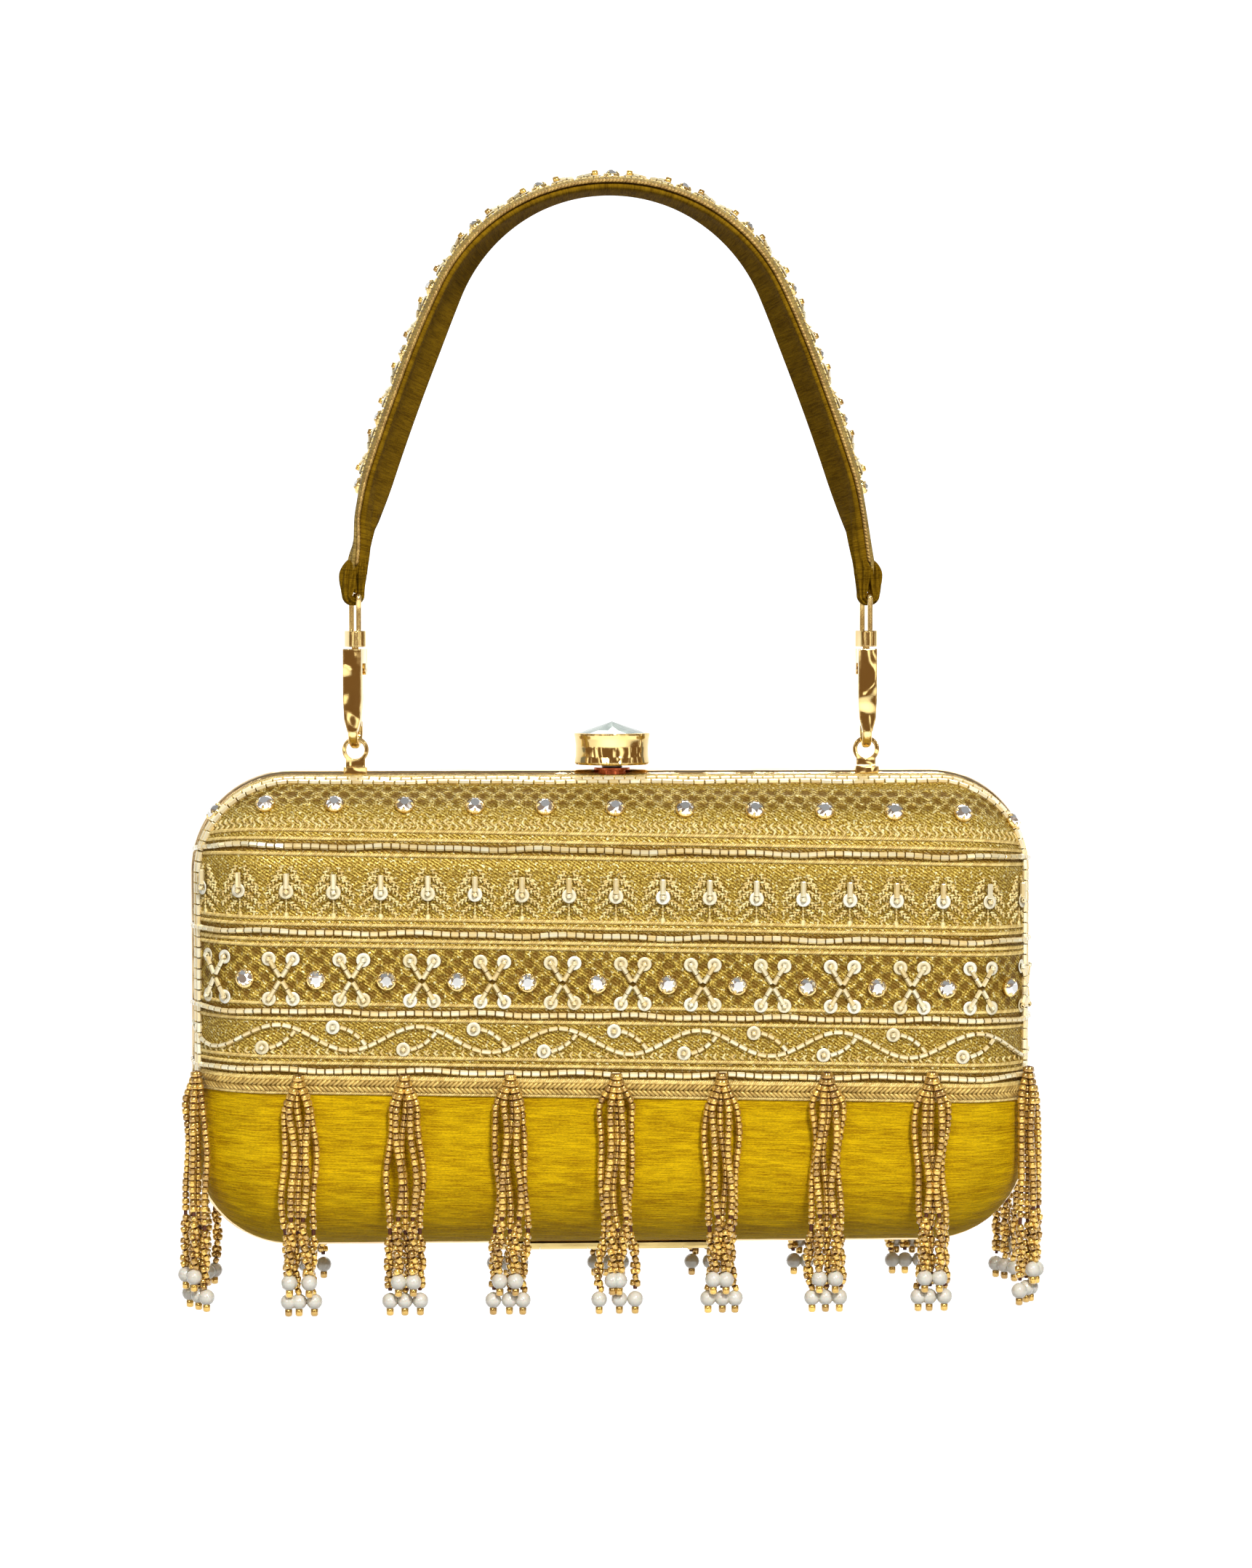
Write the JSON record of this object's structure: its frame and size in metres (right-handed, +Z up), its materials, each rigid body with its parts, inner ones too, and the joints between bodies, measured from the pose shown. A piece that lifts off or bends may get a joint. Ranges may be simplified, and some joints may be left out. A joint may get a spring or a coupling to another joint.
{
  "type": "evening bag",
  "caption": "Hard box clutch in two hinged halves, covered in gold brocade and raw silk, with a short strap on snap hooks, a crystal push clasp and a bead tassel fringe.",
  "frame": {"origin": "the underside of the strap at the middle of its arch, where a hand, an arm or a peg carries the bag", "axes": "+Z up, +X to the right of a viewer who faces the front, -Y towards that viewer"},
  "size_m": [0.216, 0.0632, 0.2814],
  "materials": {
    "strap_silk": "olive-gold silk, gathered at its ends",
    "brocade": "gold brocade with bead and sequin embroidery",
    "raw_silk": "slubbed mustard-gold raw silk",
    "satin_lining": "satin",
    "gold_braid": "twisted metallic thread",
    "gold_plate": "polished pale gold plate",
    "copper_plate": "polished reddish gold plate",
    "latch_plate": "satin",
    "pin_steel": "drawn wire",
    "spring_steel": "spring wire",
    "shell_board": "pressed fibre board",
    "set_stones": "cut glass stones in gold claws",
    "crystal": "clear cut crystal",
    "bead_strands": "gold-lined seed beads with pearls"
  },
  "bodies": {
    "strap": {"strap_lining": "strap_silk", "strap_face": "brocade", "strap_tab_left": "strap_silk", "strap_tab_right": "strap_silk", "strap_stones": "set_stones", "swivel_eye_left": "gold_plate", "swivel_eye_right": "gold_plate"},
    "hook_left": {"hook_left": "gold_plate", "gate_pin_left": "pin_steel", "gate_spring_left": "spring_steel"},
    "hook_right": {"hook_right": "gold_plate", "gate_pin_right": "pin_steel", "gate_spring_right": "spring_steel"},
    "gate_left": {"gate_left": "gold_plate"},
    "gate_right": {"gate_right": "gold_plate"},
    "front_half": {"front_frame": "gold_plate", "front_shell": "shell_board", "front_cover": "raw_silk", "front_lining": "satin_lining", "front_stones": "set_stones", "front_braid": "gold_braid", "lug_left": "gold_plate", "lug_right": "gold_plate", "clasp_base": "copper_plate", "front_hinge_leaf": "gold_plate", "hinge_pin": "pin_steel", "clasp_spring": "spring_steel"},
    "clasp": {"clasp_cup": "gold_plate", "clasp_crystal": "crystal", "latch_bar": "latch_plate"},
    "back_half": {"back_frame": "gold_plate", "back_shell": "shell_board", "back_cover": "raw_silk", "back_lining": "satin_lining", "back_stones": "set_stones", "back_braid": "gold_braid", "back_hinge_leaf": "gold_plate", "latch_keeper": "latch_plate"},
    "front_tassel_1": {"front_tassel_1": "bead_strands"},
    "front_tassel_2": {"front_tassel_2": "bead_strands"},
    "front_tassel_3": {"front_tassel_3": "bead_strands"},
    "front_tassel_4": {"front_tassel_4": "bead_strands"},
    "front_tassel_5": {"front_tassel_5": "bead_strands"},
    "front_tassel_6": {"front_tassel_6": "bead_strands"},
    "front_tassel_7": {"front_tassel_7": "bead_strands"},
    "front_tassel_8": {"front_tassel_8": "bead_strands"},
    "front_tassel_9": {"front_tassel_9": "bead_strands"},
    "back_tassel_1": {"back_tassel_1": "bead_strands"},
    "back_tassel_2": {"back_tassel_2": "bead_strands"},
    "back_tassel_3": {"back_tassel_3": "bead_strands"},
    "back_tassel_4": {"back_tassel_4": "bead_strands"},
    "back_tassel_5": {"back_tassel_5": "bead_strands"},
    "back_tassel_6": {"back_tassel_6": "bead_strands"},
    "back_tassel_7": {"back_tassel_7": "bead_strands"},
    "back_tassel_8": {"back_tassel_8": "bead_strands"},
    "back_tassel_9": {"back_tassel_9": "bead_strands"}
  },
  "joints": [
    {"name": "bag_swing", "type": "hinge", "parent": "strap", "child": "front_half", "pos_m": [0, 0, -0.13395], "axis": [1, 0, 0], "range_deg": [-20, 20]},
    {"name": "back_opening", "type": "hinge", "parent": "front_half", "child": "back_half", "pos_m": [0, 0.0008, -0.26355], "axis": [-1, 0, 0], "range_deg": [0, 70]},
    {"name": "clasp_push", "type": "slide", "parent": "front_half", "child": "clasp", "axis": [0, 0, -1], "range_m": [0, 0.0012], "stiffness_N_per_m": 300, "springref_m": -0.003, "deforming": ["clasp_spring"]},
    {"name": "hook_left_swivel", "type": "hinge", "parent": "strap", "child": "hook_left", "pos_m": [-0.064, 0, -0.1115], "axis": [0, 0, 1], "range_deg": [-2, 22]},
    {"name": "gate_left_open", "type": "hinge", "parent": "hook_left", "child": "gate_left", "pos_m": [-0.0635, 0.00286, -0.1186], "axis": [-0.9848, 0.1736, 0], "range_deg": [0, 14], "stiffness_Nm_per_rad": 0.01, "springref_deg": -11.46, "deforming": ["gate_spring_left"]},
    {"name": "hook_right_swivel", "type": "hinge", "parent": "strap", "child": "hook_right", "pos_m": [0.064, 0, -0.1115], "axis": [0, 0, 1], "range_deg": [-12, 12]},
    {"name": "gate_right_open", "type": "hinge", "parent": "hook_right", "child": "gate_right", "pos_m": [0.064, 0.0029, -0.1186], "axis": [-1, 0, 0], "range_deg": [0, 14], "stiffness_Nm_per_rad": 0.01, "springref_deg": -11.46, "deforming": ["gate_spring_right"]},
    {"name": "front_tassel_1_swing", "type": "hinge", "parent": "front_half", "child": "front_tassel_1", "pos_m": [-0.1028, -0.01607, -0.2185], "axis": [-0.5299, 0.848, 0], "range_deg": [0, 75]},
    {"name": "front_tassel_2_swing", "type": "hinge", "parent": "front_half", "child": "front_tassel_2", "pos_m": [-0.0777, -0.0266, -0.2185], "axis": [-1, 0, 0], "range_deg": [0, 75]},
    {"name": "front_tassel_3_swing", "type": "hinge", "parent": "front_half", "child": "front_tassel_3", "pos_m": [-0.0518, -0.0266, -0.2185], "axis": [-1, 0, 0], "range_deg": [0, 75]},
    {"name": "front_tassel_4_swing", "type": "hinge", "parent": "front_half", "child": "front_tassel_4", "pos_m": [-0.0259, -0.0266, -0.2185], "axis": [-1, 0, 0], "range_deg": [0, 75]},
    {"name": "front_tassel_5_swing", "type": "hinge", "parent": "front_half", "child": "front_tassel_5", "pos_m": [0, -0.0266, -0.2185], "axis": [-1, 0, 0], "range_deg": [0, 75]},
    {"name": "front_tassel_6_swing", "type": "hinge", "parent": "front_half", "child": "front_tassel_6", "pos_m": [0.0259, -0.0266, -0.2185], "axis": [-1, 0, 0], "range_deg": [0, 75]},
    {"name": "front_tassel_7_swing", "type": "hinge", "parent": "front_half", "child": "front_tassel_7", "pos_m": [0.0518, -0.0266, -0.2185], "axis": [-1, 0, 0], "range_deg": [0, 75]},
    {"name": "front_tassel_8_swing", "type": "hinge", "parent": "front_half", "child": "front_tassel_8", "pos_m": [0.0777, -0.0266, -0.2185], "axis": [-1, 0, 0], "range_deg": [0, 75]},
    {"name": "front_tassel_9_swing", "type": "hinge", "parent": "front_half", "child": "front_tassel_9", "pos_m": [0.1028, -0.01607, -0.2185], "axis": [-0.5299, -0.848, 0], "range_deg": [0, 75]},
    {"name": "back_tassel_1_swing", "type": "hinge", "parent": "back_half", "child": "back_tassel_1", "pos_m": [-0.1028, 0.01767, -0.2185], "axis": [0.5299, 0.848, 0], "range_deg": [0, 75]},
    {"name": "back_tassel_2_swing", "type": "hinge", "parent": "back_half", "child": "back_tassel_2", "pos_m": [-0.0777, 0.0282, -0.2185], "axis": [1, 0, 0], "range_deg": [0, 75]},
    {"name": "back_tassel_3_swing", "type": "hinge", "parent": "back_half", "child": "back_tassel_3", "pos_m": [-0.0518, 0.0282, -0.2185], "axis": [1, 0, 0], "range_deg": [0, 75]},
    {"name": "back_tassel_4_swing", "type": "hinge", "parent": "back_half", "child": "back_tassel_4", "pos_m": [-0.0259, 0.0282, -0.2185], "axis": [1, 0, 0], "range_deg": [0, 75]},
    {"name": "back_tassel_5_swing", "type": "hinge", "parent": "back_half", "child": "back_tassel_5", "pos_m": [0, 0.0282, -0.2185], "axis": [1, 0, 0], "range_deg": [0, 75]},
    {"name": "back_tassel_6_swing", "type": "hinge", "parent": "back_half", "child": "back_tassel_6", "pos_m": [0.0259, 0.0282, -0.2185], "axis": [1, 0, 0], "range_deg": [0, 75]},
    {"name": "back_tassel_7_swing", "type": "hinge", "parent": "back_half", "child": "back_tassel_7", "pos_m": [0.0518, 0.0282, -0.2185], "axis": [1, 0, 0], "range_deg": [0, 75]},
    {"name": "back_tassel_8_swing", "type": "hinge", "parent": "back_half", "child": "back_tassel_8", "pos_m": [0.0777, 0.0282, -0.2185], "axis": [1, 0, 0], "range_deg": [0, 75]},
    {"name": "back_tassel_9_swing", "type": "hinge", "parent": "back_half", "child": "back_tassel_9", "pos_m": [0.1028, 0.01767, -0.2185], "axis": [0.5299, -0.848, 0], "range_deg": [0, 75]}
  ]
}
